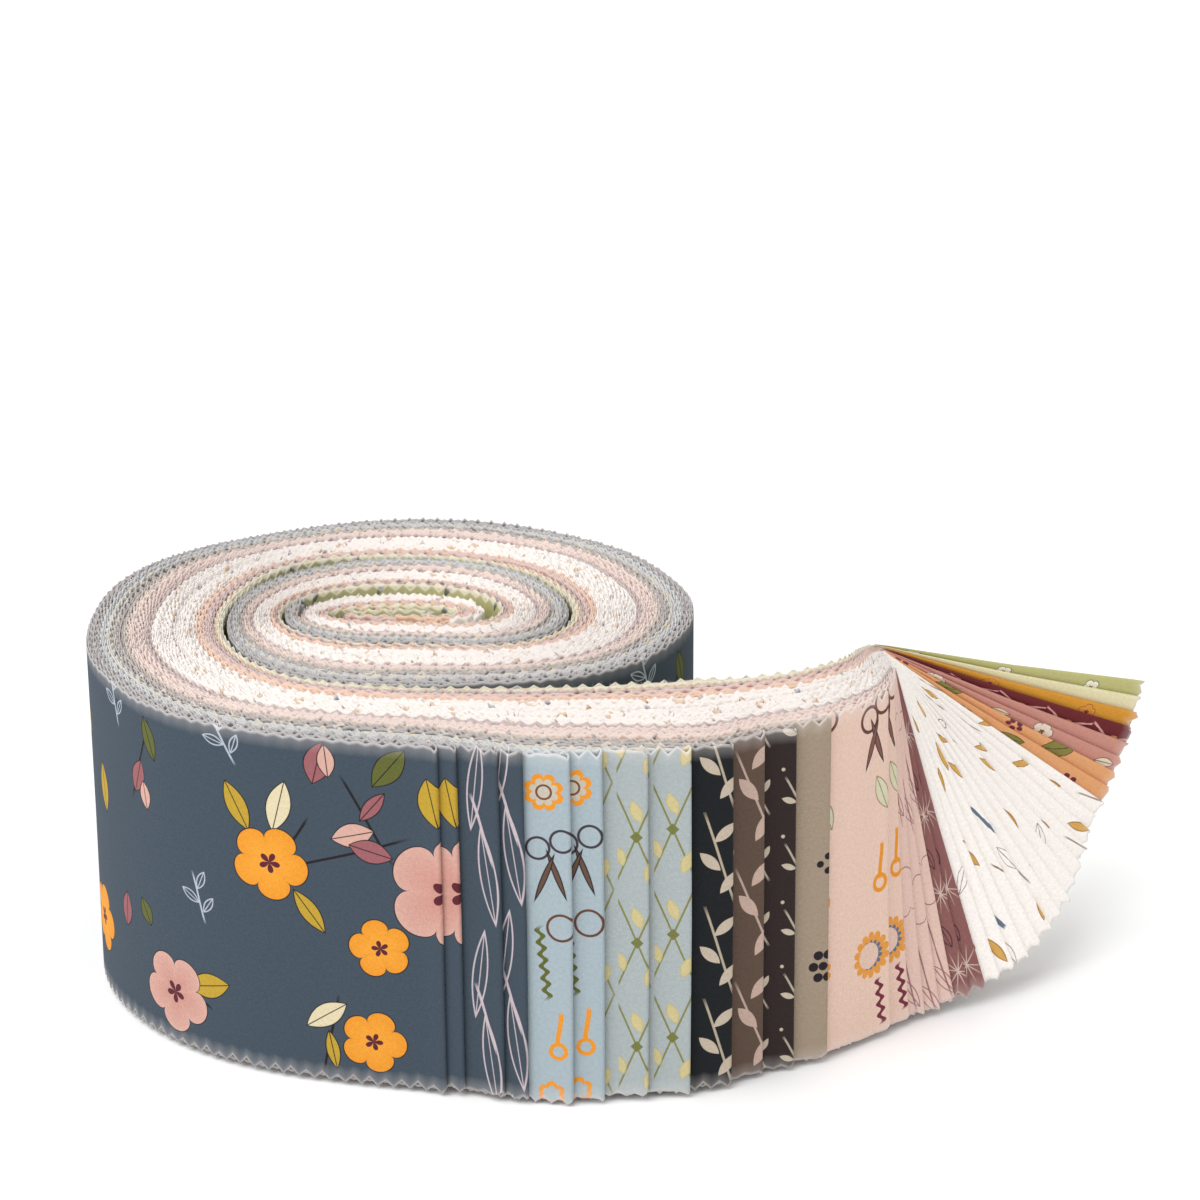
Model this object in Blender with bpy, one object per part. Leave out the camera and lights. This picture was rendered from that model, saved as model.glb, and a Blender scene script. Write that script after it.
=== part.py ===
"""A roll of quilting-cotton strips: a stack of folded strips wound up, with its folded ends fanned out.

Every strip is cut 2 1/2 inches wide and one fabric width long, and is folded in half across its length.
The forty folded strips lie on each other as one stack. The stack is wound into a standing roll, its cut
ends in the core, and its folded ends leave the roll at the front as a tail: the outermost strips end
first, one after another, and the innermost ones swing out about their top corners as a fan.

Metres, +Z up. +Y points from the front of the roll to its back, and +X points along the tail. The
origin is on the surface that the roll stands on, below the middle of the whole object's box.
"""

import bpy
import numpy as np

# The fabric.
STRIP_WIDTH = 0.0635  # 2 1/2 inches, which is the height of the standing roll
STRIP_LENGTH = 1.118  # 44 inches, from selvedge to selvedge
CLOTH_SHARE = 0.5  # the part of each strip's room in the stack that its two layers fill

# The roll, in plan. Each tuple holds one value for each turn's outer face, ending with the core.
TURN_HALF_WIDTHS = (0.0550, 0.0310, 0.0193, 0.0110, 0.0070)
TURN_HALF_DEPTHS = (0.0555, 0.0330, 0.0150, 0.0036, 0.0008)
TURN_CENTRE_X = (0.0, 0.0010, -0.0005, -0.0005, -0.0005)
TURN_CENTRE_Y = (0.0, 0.0010, 0.0036, 0.0036, 0.0036)
TURN_GAP = 0.0007  # between the inner face of one turn and the outer face of the next
SLACK_GAP = 0.0020  # how much wider that gap is where the first turn stands off at the back
SLACK_ANGLE = 125.0  # where the slack is, in degrees from +X
SLACK_SPREAD = 35.0  # how far the slack reaches to each side, in degrees
LEAVE_ANGLE = -100.0  # where the tail leaves the roll, in degrees from +X
STEP_MIDDLE = 297.0  # how far into each turn it steps in onto the next one, in degrees
STEP_SPREAD = 110.0  # how long that step in is, in degrees

# The tail. Each station holds the back face's x and y, the room of one strip, and the direction across
# the stack in degrees from +X. Place 0 is where the tail leaves the roll, and the stations are 1, 2 and on.
TAIL_STATIONS = (
    (0.0110, -0.0342, 0.00061, -89.0),
    (0.0250, -0.0334, 0.00077, -88.0),
    (0.0390, -0.0303, 0.00090, -88.0),
    (0.0530, -0.0277, 0.00096, -87.0),
    (0.0620, -0.0272, 0.00082, -84.0),
    (0.0706, -0.0250, 0.00078, -76.0),
    (0.0780, -0.0205, 0.00066, -67.0),
    (0.0820, -0.0160, 0.00045, -60.0),
    (0.0845, -0.0140, 0.00045, -60.0),
)

# Where each strip's fold is: along X for the upright ones, then by the lean angle for the fanned ones.
UPRIGHT_FOLDS = (0.0109, 0.0140, 0.0208, 0.0248, 0.0323, 0.0375, 0.0448, 0.0518, 0.0587, 0.0642, 0.0697, 0.0756)
FIRST_LEAN = 2.0  # the first leaning strip, in degrees from upright
LAST_LEAN = 74.0  # the last strip of the fan
LEAN_PLACE = 6.0  # the place along the tail where the strips begin to lean
LEAN_POWER = 3.5  # how late in the rest of the tail most of the lean comes
FAN_TURN = (-10.0, 27.0)  # the direction in plan that the first and the last fanned folds point, in degrees
FAN_TURN_LEANS = (10.0, 52.0)  # the lean between which that direction changes

# How finely the curves are cut into flats.
WOUND_STEP = 24.0  # degrees in the two outer turns
CORE_STEP = 48.0  # degrees in the core
CORE_START = 720.0  # degrees of winding
CORE_END = 1250.0
CORE_LOOSE = 26.0  # how many strips' room the inner strips take over in the core, where outer ones end
LOOSE_START = 810.0  # degrees of winding
LOOSE_SPREAD = 190.0
LAST_STEP = 0.05  # the shortest flat at a fold, in places

# Each print, outermost first: its name, how many strips of it there are, its colour and its roughness.
PRINTS = (
    ("slate_floral", 2, (0.075, 0.115, 0.165), 0.9),
    ("slate_ribbon", 2, (0.070, 0.105, 0.150), 0.9),
    ("mist_notions", 2, (0.370, 0.480, 0.550), 0.9),
    ("mist_lattice", 2, (0.400, 0.480, 0.510), 0.9),
    ("charcoal_vine", 1, (0.025, 0.030, 0.036), 0.9),
    ("brown_vine", 1, (0.130, 0.090, 0.075), 0.9),
    ("umber_sprig", 1, (0.045, 0.033, 0.030), 0.9),
    ("taupe_berry", 1, (0.330, 0.290, 0.250), 0.9),
    ("rose_notions", 2, (0.700, 0.520, 0.470), 0.9),
    ("rose_linework", 3, (0.720, 0.570, 0.540), 0.9),
    ("mauve_hatch", 2, (0.330, 0.150, 0.150), 0.9),
    ("cream_scatter", 13, (0.850, 0.810, 0.780), 0.9),
    ("apricot_leaf", 2, (0.720, 0.380, 0.180), 0.9),
    ("dusty_rose_blossom", 2, (0.580, 0.300, 0.270), 0.9),
    ("burgundy_trellis", 1, (0.120, 0.015, 0.028), 0.9),
    ("mustard_plain", 1, (0.580, 0.270, 0.025), 0.9),
    ("pale_sage_blossom", 1, (0.740, 0.700, 0.460), 0.9),
    ("sage_blossom", 1, (0.460, 0.460, 0.220), 0.9),
)
STRIP_COUNT = sum(count for name, count, colour, roughness in PRINTS)


def eased(share):
    """0 to 1 with level ends, for shares of any shape."""
    share = np.clip(share, 0.0, 1.0)
    return share * share * (3.0 - 2.0 * share)


def by_turn(values, unwound):
    """The value of each turn, easing over to the next turn's value at each step in."""
    total = np.full(np.shape(unwound), values[0])
    for turn in range(len(values) - 1):
        share = (unwound - STEP_MIDDLE - 360.0 * turn) / STEP_SPREAD + 0.5
        total = total + (values[turn + 1] - values[turn]) * eased(share)
    return total


def outer_face(unwound):
    """The stack's outer face in plan, by how far it is from the tail in degrees of winding."""
    angle = np.radians(LEAVE_ANGLE - unwound)
    x = by_turn(TURN_CENTRE_X, unwound) + by_turn(TURN_HALF_WIDTHS, unwound) * np.cos(angle)
    y = by_turn(TURN_CENTRE_Y, unwound) + by_turn(TURN_HALF_DEPTHS, unwound) * np.sin(angle)
    return np.stack([x, y], axis=-1)


def inner_face(unwound):
    """The stack's inner face in plan: the next turn's outer face, and the gap between the turns."""
    degrees = LEAVE_ANGLE - unwound
    from_slack = (degrees - SLACK_ANGLE + 180.0) % 360.0 - 180.0
    first_turn = eased((STEP_MIDDLE - unwound) / STEP_SPREAD + 0.5)
    slack = SLACK_GAP * first_turn * eased(1.0 - np.abs(from_slack) / SLACK_SPREAD)
    outward = np.stack([np.cos(np.radians(degrees)), np.sin(np.radians(degrees))], axis=-1)
    return outer_face(unwound + 360.0) + outward * (TURN_GAP + slack)[..., None]


def wound_points(strip, unwound):
    """One strip's middle line in the roll, in plan."""
    ended = CORE_LOOSE * eased((unwound - LOOSE_START) / LOOSE_SPREAD)
    share = ((strip + 0.5 - ended) / (STRIP_COUNT - ended))[..., None]
    return outer_face(unwound) * (1.0 - share) + inner_face(unwound) * share


def smooth_rows(rows, place):
    """A curve through the rows of numbers at places 0, 1, 2 and on, level-handed at both ends (Catmull-Rom)."""
    rows = np.asarray(rows, float)
    padded = np.vstack([2 * rows[0] - rows[1], rows, 2 * rows[-1] - rows[-2]])
    first = np.clip(np.floor(place).astype(int), 0, len(rows) - 2)
    t = (place - first)[:, None]
    a, b, c, d = (padded[first + step] for step in range(4))
    return 0.5 * (2 * b + (c - a) * t + (2 * a - 5 * b + 4 * c - d) * t**2 + (3 * b - a - 3 * c + d) * t**3)


def tail_points(strip, place):
    """One strip's top edge along the tail in plan, and its lean. Place 0 is where the tail leaves the roll."""
    stations = np.array(TAIL_STATIONS)
    across = np.radians(stations[:, 3])
    reach = (STRIP_COUNT - strip - 0.5) * stations[:, 2]
    line = stations[:, :2] + reach[:, None] * np.stack([np.cos(across), np.sin(across)], axis=-1)
    before = wound_points(strip, np.array([2.0 * WOUND_STEP, WOUND_STEP, 0.0]))
    line = smooth_rows(np.vstack([before, line]), place + len(before) - 1)
    share = np.clip((place - LEAN_PLACE) / (len(stations) - LEAN_PLACE), 0.0, 1.0)
    return line, LAST_LEAN * share**LEAN_POWER


def fold_place(strip):
    """The place along the tail where a strip's fold is."""
    places = np.linspace(0.0, len(TAIL_STATIONS), 1800)
    line, lean = tail_points(strip, places)
    if strip < len(UPRIGHT_FOLDS):
        return float(np.interp(UPRIGHT_FOLDS[strip], line[:, 0], places))
    share = (strip - len(UPRIGHT_FOLDS)) / (STRIP_COUNT - 1 - len(UPRIGHT_FOLDS))
    return float(np.interp(FIRST_LEAN + (LAST_LEAN - FIRST_LEAN) * share, lean, places))


def edge_direction(lean):
    """The way from a strip's top edge to its bottom edge: straight down, or swung out along the fan."""
    turn = eased((lean - FAN_TURN_LEANS[0]) / (FAN_TURN_LEANS[1] - FAN_TURN_LEANS[0]))
    heading = np.radians(FAN_TURN[0] + (FAN_TURN[1] - FAN_TURN[0]) * turn)
    out = np.sin(np.radians(lean))
    return np.stack([out * np.cos(heading), out * np.sin(heading), -np.cos(np.radians(lean))], axis=-1)


def strip_places(strip):
    """The stations of one strip from its fold to its cut ends: (places along the tail, degrees of winding).

    A leaning strip has a station at the fold of each leaning strip in front of it, so that all of them
    are cut into the same flats and lie evenly on each other.
    """
    fold = fold_place(strip)
    places = np.append(np.arange(1.0, LEAN_PLACE), LEAN_PLACE + np.array([0.0, 0.5]))
    places = np.append(places[places < fold - LAST_STEP], fold)
    leaning = [fold_place(front) for front in range(len(UPRIGHT_FOLDS), strip)]
    places = np.sort(np.append(places, leaning))[::-1]
    wound = np.append(np.arange(0.0, CORE_START, WOUND_STEP), np.arange(CORE_START, CORE_END, CORE_STEP))
    return places, wound


def strip_lines(strip):
    """The top and the bottom edge of one strip from its fold to its cut ends, each a row of 3D points."""
    places, wound = strip_places(strip)
    tail, lean = tail_points(strip, places)
    plan = np.vstack([tail, wound_points(strip, wound)])
    down = edge_direction(np.concatenate([lean, np.zeros(len(wound))]))
    top = np.column_stack([plan, np.full(len(plan), STRIP_WIDTH)])
    bottom = top + STRIP_WIDTH * down
    run = np.append(0.0, np.cumsum(np.linalg.norm(np.diff(bottom, axis=0), axis=1)))
    length = STRIP_LENGTH / 2
    keep = int(np.searchsorted(run, length))
    if keep < len(run):
        share = (length - run[keep - 1]) / (run[keep] - run[keep - 1])
        top[keep] = top[keep - 1] + (top[keep] - top[keep - 1]) * share
        bottom[keep] = bottom[keep - 1] + (bottom[keep] - bottom[keep - 1]) * share
    return top[: keep + 1], bottom[: keep + 1]


def next_strip_offset(strip):
    """From each station of a strip to the same station of the strip behind it, in plan."""
    places, wound = strip_places(strip)
    tail = tail_points(strip + 1, places)[0] - tail_points(strip, places)[0]
    return np.vstack([tail, wound_points(strip + 1, wound) - wound_points(strip, wound)])


def half_thickness(edge, down, offset):
    """Half of the cloth's thickness at one edge, square to the cloth, as a row of 3D vectors."""
    normal = np.cross(down, np.gradient(edge, axis=0))
    normal /= np.linalg.norm(normal, axis=1)[:, None]
    room = np.abs((offset * normal[:, :2]).sum(axis=1))
    return normal * (room * CLOTH_SHARE / 2)[:, None]


def strip_mesh(strip, name):
    """One folded strip as a closed ribbon of its two layers' thickness, from its cut ends to its fold.

    Corners 1 and 3 of each ring start the two walls. Both list their flats from the top corner nearer the
    cut ends, so that the two walls are cut into the same triangles and keep their distance in the fan.
    """
    top, bottom = strip_lines(strip)
    offset = next_strip_offset(strip)[: len(top)]
    at_top = half_thickness(top, bottom - top, offset)
    at_bottom = half_thickness(bottom, bottom - top, offset)
    rings = np.stack([top + at_top, top - at_top, bottom - at_bottom, bottom + at_bottom], axis=1)[::-1]
    last = 4 * (len(rings) - 1)
    faces = [(3, 2, 1, 0)]
    for start in range(0, last, 4):
        for corner in range(4):
            side = (corner + 1) % 4
            flat = (start + corner, start + side, start + 4 + side, start + 4 + corner)
            faces.append(flat[1:] + flat[:1] if corner == 3 else flat)
    faces.append((last, last + 1, last + 2, last + 3))
    mesh = bpy.data.meshes.new(name)
    mesh.from_pydata(rings.reshape(-1, 3).tolist(), [], faces)
    return mesh


def cloth_material(name, colour, roughness):
    """Plain woven cotton in one colour."""
    material = bpy.data.materials.new(name)
    material.use_nodes = True
    shader = material.node_tree.nodes["Principled BSDF"]
    shader.inputs["Base Color"].default_value = (*colour, 1.0)
    shader.inputs["Roughness"].default_value = roughness
    shader.inputs["Metallic"].default_value = 0.0
    return material


def main():
    for old in list(bpy.data.objects):
        bpy.data.objects.remove(old)
    strips = []
    for name, count, colour, roughness in PRINTS:
        material = cloth_material(name, colour, roughness)
        for copy in range(count):
            number = len(strips)
            node = f"strip_{number + 1:02d}_{name}"
            mesh = strip_mesh(number, node)
            mesh.materials.append(material)
            strip = bpy.data.objects.new(node, mesh)
            bpy.context.collection.objects.link(strip)
            strips.append(strip)
    corners = np.array([tuple(vertex.co) for strip in strips for vertex in strip.data.vertices])
    middle = (corners.min(axis=0) + corners.max(axis=0)) / 2
    for strip in strips:
        for vertex in strip.data.vertices:
            vertex.co.x -= middle[0]
            vertex.co.y -= middle[1]


main()
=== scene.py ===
import math

import bpy
import numpy as np
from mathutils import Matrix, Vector


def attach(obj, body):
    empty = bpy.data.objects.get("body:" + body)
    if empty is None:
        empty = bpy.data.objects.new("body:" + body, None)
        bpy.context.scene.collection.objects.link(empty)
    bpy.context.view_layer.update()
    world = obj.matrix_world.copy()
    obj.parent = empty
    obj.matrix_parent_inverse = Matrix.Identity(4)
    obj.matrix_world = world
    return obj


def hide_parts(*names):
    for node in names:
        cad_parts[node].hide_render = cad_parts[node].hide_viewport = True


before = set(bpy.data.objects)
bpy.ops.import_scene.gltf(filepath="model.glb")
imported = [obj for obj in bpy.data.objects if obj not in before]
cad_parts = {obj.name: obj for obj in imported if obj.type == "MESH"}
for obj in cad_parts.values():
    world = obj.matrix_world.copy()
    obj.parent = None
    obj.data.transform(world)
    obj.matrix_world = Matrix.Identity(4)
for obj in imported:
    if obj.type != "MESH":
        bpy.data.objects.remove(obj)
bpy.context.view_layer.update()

# The roll, by the same sizes and formulas as the CAD source.
roll = {
    "width": 0.0635,
    "length": 1.118,
    "halfWidths": (0.0550, 0.0310, 0.0193, 0.0110, 0.0070),
    "halfDepths": (0.0555, 0.0330, 0.0150, 0.0036, 0.0008),
    "centreX": (0.0, 0.0010, -0.0005, -0.0005, -0.0005),
    "centreY": (0.0, 0.0010, 0.0036, 0.0036, 0.0036),
    "turnGap": 0.0007,
    "slackGap": 0.0020,
    "slackAngle": 125.0,
    "slackSpread": 35.0,
    "leaveAngle": -100.0,
    "stepMiddle": 297.0,
    "stepSpread": 110.0,
    "looseStrips": 26.0,
    "looseStart": 810.0,
    "looseSpread": 190.0,
    "woundStep": 24.0,
    "woundEnd": 1400.0,
    "woundSample": 0.8,
    "tailSamples": 420,
    "shift": (-0.04236798, 0.00330084),
}
tail = {
    "stations": (
        (0.0110, -0.0342, 0.00061, -89.0),
        (0.0250, -0.0334, 0.00077, -88.0),
        (0.0390, -0.0303, 0.00090, -88.0),
        (0.0530, -0.0277, 0.00096, -87.0),
        (0.0620, -0.0272, 0.00082, -84.0),
        (0.0706, -0.0250, 0.00078, -76.0),
        (0.0780, -0.0205, 0.00066, -67.0),
        (0.0820, -0.0160, 0.00045, -60.0),
        (0.0845, -0.0140, 0.00045, -60.0),
    ),
    "uprightFolds": (
        (0.0109, 0.0140, 0.0208, 0.0248, 0.0323, 0.0375)
        + (0.0448, 0.0518, 0.0587, 0.0642, 0.0697, 0.0756)
    ),
    "firstLean": 2.0,
    "lastLean": 74.0,
    "leanPlace": 6.0,
    "leanPower": 3.5,
    "fanTurn": (-10.0, 27.0),
    "fanTurnLeans": (10.0, 52.0),
}
stripCount = 40


def eased(share):
    # 3 times the share's square less 2 times its cube, from 0 to 1 with level ends
    share = np.clip(share, 0.0, 1.0)
    return share * share * (3.0 - 2.0 * share)


def byTurn(values, unwound):
    # the first turn's value, plus an eased step at the end of each turn
    total = np.full(np.shape(unwound), values[0])
    for turn in range(len(values) - 1):
        share = (unwound - roll["stepMiddle"] - 360.0 * turn) / roll["stepSpread"] + 0.5
        total = total + (values[turn + 1] - values[turn]) * eased(share)
    return total


def outerFace(unwound):
    # an ellipse whose centre and half sizes change from turn to turn
    angle = np.radians(roll["leaveAngle"] - unwound)
    x = byTurn(roll["centreX"], unwound) + byTurn(roll["halfWidths"], unwound) * np.cos(angle)
    y = byTurn(roll["centreY"], unwound) + byTurn(roll["halfDepths"], unwound) * np.sin(angle)
    return np.stack([x, y], axis=-1)


def innerFace(unwound):
    # the next turn's outer face, moved outward by the gap and the slack
    degrees = roll["leaveAngle"] - unwound
    fromSlack = (degrees - roll["slackAngle"] + 180.0) % 360.0 - 180.0
    firstTurn = eased((roll["stepMiddle"] - unwound) / roll["stepSpread"] + 0.5)
    slack = roll["slackGap"] * firstTurn * eased(1.0 - np.abs(fromSlack) / roll["slackSpread"])
    outward = np.stack([np.cos(np.radians(degrees)), np.sin(np.radians(degrees))], axis=-1)
    return outerFace(unwound + 360.0) + outward * (roll["turnGap"] + slack)[..., None]


def woundPoints(strip, unwound):
    # a share of the way from the stack's outer face to its inner face
    ended = roll["looseStrips"] * eased((unwound - roll["looseStart"]) / roll["looseSpread"])
    share = ((strip + 0.5 - ended) / (stripCount - ended))[..., None]
    return outerFace(unwound) * (1.0 - share) + innerFace(unwound) * share


def smoothRows(rows, place):
    # Catmull-Rom through the rows
    padded = np.vstack([2 * rows[0] - rows[1], rows, 2 * rows[-1] - rows[-2]])
    first = np.clip(np.floor(place).astype(int), 0, len(rows) - 2)
    t = (place - first)[:, None]
    a, b, c, d = (padded[first + step] for step in range(4))
    return 0.5 * (2 * b + (c - a) * t + (2 * a - 5 * b + 4 * c - d) * t**2 + (3 * b - a - 3 * c + d) * t**3)


def tailPoints(strip, place):
    # each station's back point plus the rooms of the strips behind, joined smoothly to the wound part
    stations = np.array(tail["stations"])
    across = np.radians(stations[:, 3])
    reach = (stripCount - strip - 0.5) * stations[:, 2]
    line = stations[:, :2] + reach[:, None] * np.stack([np.cos(across), np.sin(across)], axis=-1)
    before = woundPoints(strip, np.array([2.0, 1.0, 0.0]) * roll["woundStep"])
    line = smoothRows(np.vstack([before, line]), place + 2)
    share = np.clip((place - tail["leanPlace"]) / (len(stations) - tail["leanPlace"]), 0.0, 1.0)
    return line, tail["lastLean"] * share ** tail["leanPower"]


def foldPlace(strip):
    # where the line passes the fold's X, or where its lean is the fold's lean
    places = np.linspace(0.0, len(tail["stations"]), 1800)
    line, lean = tailPoints(strip, places)
    upright = tail["uprightFolds"]
    if strip < len(upright):
        return float(np.interp(upright[strip], line[:, 0], places))
    share = (strip - len(upright)) / (stripCount - 1 - len(upright))
    return float(np.interp(tail["firstLean"] + (tail["lastLean"] - tail["firstLean"]) * share, lean, places))


def edgeDirection(lean):
    # straight down, swung out by the lean towards the fan's heading
    turn = eased((lean - tail["fanTurnLeans"][0]) / (tail["fanTurnLeans"][1] - tail["fanTurnLeans"][0]))
    heading = np.radians(tail["fanTurn"][0] + (tail["fanTurn"][1] - tail["fanTurn"][0]) * turn)
    out = np.sin(np.radians(lean))
    return np.stack([out * np.cos(heading), out * np.sin(heading), -np.cos(np.radians(lean))], axis=-1)


def unit(rows):
    # each row divided by its length
    return rows / np.maximum(np.linalg.norm(rows, axis=-1, keepdims=True), 1e-12)


def stripPath(strip):
    # both edges from the fold to the cut ends, with the outward normals, the rooms and the tangents,
    # all by the distance run along the bottom edge
    places = np.linspace(foldPlace(strip), 0.0, roll["tailSamples"])[:-1]
    wound = np.arange(0.0, roll["woundEnd"], roll["woundSample"])
    line, lean = tailPoints(strip, places)
    plan = np.vstack([line, woundPoints(strip, wound)])
    behind = np.vstack([tailPoints(strip + 1, places)[0], woundPoints(strip + 1, wound)]) - plan
    down = edgeDirection(np.concatenate([lean, np.zeros(len(wound))]))
    top = np.column_stack([plan + roll["shift"], np.full(len(plan), roll["width"])])
    bottom = top + roll["width"] * down
    run = np.append(0.0, np.cumsum(np.linalg.norm(np.diff(bottom, axis=0), axis=1)))
    path = {"run": run}
    for name, edge in (("top", top), ("bottom", bottom)):
        along = unit(np.gradient(edge, axis=0))
        normal = unit(np.cross(down, along))
        facing = (normal[:, :2] * behind).sum(axis=1)
        normal *= -np.sign(facing)[:, None]
        path[name] = edge
        path[name + "Normal"] = normal
        path[name + "Along"] = along
        path[name + "Room"] = np.abs(facing)
    return path


def atRun(path, name, run):
    # the path's rows at these distances, by linear interpolation
    rows = path[name]
    if rows.ndim == 1:
        return np.interp(run, path["run"], rows)
    return np.column_stack([np.interp(run, path["run"], rows[:, k]) for k in range(rows.shape[1])])


cloth = {
    "column": 0.0014,
    "tooth": 0.0013,
    "foldHalf": 0.00036,
    "foldReach": 0.0035,
    "thickShare": 0.40,
    "mostThick": 0.00028,
    "mostRoom": 0.00075,
    "lift": 0.0006,
    "liftPitch": 0.05,
    "mostStep": 0.0003,
    "ripple": 0.00025,
    "ripplePitch": 0.02,
    "foldColumns": 5,
    "foldGap": 0.0004,
    "rows": (0.0, 0.0006, 0.003, 0.032),
    "edgeRows": 0.001,
    "innerTooth": 0.4,
    "rims": (1.0, 0.25),
}


def wander(rng, run, pitch, octaves=2):
    # smooth noise from 0 to 1 along the run
    total = np.zeros(len(run))
    for octave in range(octaves):
        knots = rng.random(int(run.max() / (pitch / 2**octave)) + 4)
        place = run / (pitch / 2**octave)
        first = place.astype(int)
        total += (knots[first] + (knots[first + 1] - knots[first]) * eased(place - first)) / 2**octave
    return total / (2 - 0.5 ** (octaves - 1))


def toothShare(height):
    # the whole tooth on the rows at the edge, and a part of it further in
    return 1.0 if height < cloth["edgeRows"] else cloth["innerTooth"]


def stripSurface(strip, rng):
    # one long ribbon from cut end to fold to cut end. Each column is a closed ring, up the outer face and
    # down the inner one. The two long edges follow a triangle wave, as pinking shears leave them
    path = stripPath(strip)
    length = roll["length"] / 2
    radius = cloth["foldHalf"]
    bend = math.pi * radius / 2
    straight = np.arange(bend + cloth["foldGap"], length, cloth["column"])
    half = np.concatenate([np.linspace(0.0, bend, cloth["foldColumns"])[1:], straight])
    place = np.concatenate([-half[::-1], [0.0], half])
    run = np.clip(np.abs(place) - bend, 0.0, None) + radius
    turn = np.clip(place / radius, -math.pi / 2, math.pi / 2)
    phase = rng.random()
    teeth = np.abs(((place / (2 * cloth["column"]) + phase) % 1.0) * 2.0 - 1.0)
    teeth = teeth * cloth["tooth"] * (0.75 + 0.5 * rng.random(len(place)))
    foldShare = eased(1.0 - (run - radius) / cloth["foldReach"])
    lift = cloth["lift"] * wander(rng, run, cloth["liftPitch"]) + cloth["mostStep"] * rng.random()
    lift = lift + cloth["ripple"] * wander(rng, place - place.min(), cloth["ripplePitch"])
    faces = {}
    for name in ("top", "bottom"):
        room = np.minimum(atRun(path, name + "Room", run), cloth["mostRoom"])
        apart = room * 0.25
        folded = np.maximum(apart, radius)
        spread = apart + (folded - apart) * foldShare
        thick = np.minimum(room * cloth["thickShare"], cloth["mostThick"]) / 2
        normal = atRun(path, name + "Normal", run)
        away = -atRun(path, name + "Along", run)
        side = -np.sin(turn)
        ahead = radius * np.cos(turn)
        centre = atRun(path, name, run) + normal * (spread - apart)[:, None]
        centre = centre + away * ahead[:, None] + normal * (spread * side)[:, None]
        across = unit(away * np.cos(turn)[:, None] + normal * side[:, None])
        faces[name] = (centre, across * thick[:, None])
    rows = cloth["rows"]
    below = [(teeth * toothShare(height) + height) / roll["width"] for height in rows]
    above = [1.0 - (teeth[::-1] * toothShare(height) + height) / roll["width"] for height in rows[-2::-1]]
    shares = np.stack(below + above, axis=1)
    topCentre, topAcross = faces["top"]
    bottomCentre, bottomAcross = faces["bottom"]
    centre = bottomCentre[:, None] + (topCentre - bottomCentre)[:, None] * shares[..., None]
    across = bottomAcross[:, None] + (topAcross - bottomAcross)[:, None] * shares[..., None]
    up = unit(topCentre - bottomCentre)
    centre = centre + (up * lift[:, None])[:, None]
    ring = np.concatenate([centre + across, (centre - across)[:, ::-1]], axis=1)
    heightsUp = shares * roll["width"]
    rim = np.zeros(shares.shape[1])
    for row, value in enumerate(cloth["rims"]):
        rim[[row, -1 - row]] = value
    ringHeight = np.concatenate([heightsUp, heightsUp[:, ::-1]], axis=1)
    ringRim = np.tile(np.concatenate([rim, rim[::-1]]), (len(place), 1))
    return {
        "ring": ring,
        "place": place,
        "height": ringHeight,
        "rim": ringRim,
        "top": centre[:, -1],
        "bottom": centre[:, 0],
        "up": up,
    }


def ringFaces(columns, corners):
    # quads between neighbouring rings, each running once round its ring
    column = np.arange(columns - 1)[:, None] * corners
    corner = np.arange(corners)[None]
    after = (corner + 1) % corners
    beyond = column + corners
    quads = np.stack([column + corner, beyond + corner, beyond + after, column + after], axis=-1)
    return quads.reshape(-1, 4)


fringe = {
    "pitch": 0.00050,
    "bottomPitch": 0.0016,
    "short": 0.0003,
    "long": 0.0013,
    "thick": 0.000030,
    "sunk": 0.0002,
    "lean": 0.45,
    "bottomShare": 0.7,
    "lowestTip": 0.00003,
    "lowestFoot": 0.00005,
    "corners": (0.0, 2.094, 4.189),
}


def fringeSpikes(surface, rng):
    # thin three-sided spikes along both pinked edges, leaning at random
    place = surface["place"]
    spikes = []
    for edge, way, pitch in (("top", 1.0, fringe["pitch"]), ("bottom", -1.0, fringe["bottomPitch"])):
        count = int((place[-1] - place[0]) / pitch)
        at = np.sort(rng.uniform(place[0], place[-1], count))
        foot = np.column_stack([np.interp(at, place, surface[edge][:, k]) for k in range(3)])
        up = np.column_stack([np.interp(at, place, surface["up"][:, k]) for k in range(3)]) * way
        foot = foot - up * fringe["sunk"]
        lean = rng.normal(0.0, fringe["lean"], (count, 3))
        size = fringe["short"] + (fringe["long"] - fringe["short"]) * rng.random(count) ** 3
        if way < 0:
            size = size * fringe["bottomShare"]
        tip = foot + unit(up + lean) * size[:, None]
        if way < 0:
            tip[:, 2] = np.maximum(tip[:, 2], fringe["lowestTip"])
            foot[:, 2] = np.maximum(foot[:, 2], fringe["lowestFoot"])
        flat = unit(np.cross(tip - foot, rng.normal(size=(count, 3))))
        other = unit(np.cross(tip - foot, flat))
        thick = fringe["thick"]
        around = [math.cos(a) * flat + math.sin(a) * other for a in fringe["corners"]]
        corners = [foot + thick * outward for outward in around]
        heights = np.full(count, 0.0 if way < 0 else roll["width"])
        spikes.append((np.stack(corners + [tip], axis=1), at, heights))
    return [np.concatenate(parts) for parts in zip(*spikes)]


# each wave's axis, height, turning per metre along x, y and z, phase, and whether it grows from the floor up
swayWaves = (
    (0, 0.00035, (0.0, 95.0, 40.0), 0.0, False),
    (0, 0.00025, (-60.0, 170.0, 0.0), 1.0, True),
    (1, 0.00040, (88.0, 0.0, 45.0), 0.6, False),
    (1, 0.00025, (150.0, 70.0, 0.0), 0.0, True),
)
swell = {"height": 0.0005, "alongX": 70.0, "phase": 1.2, "alongY": 64.0, "lift": 0.0004}


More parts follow.
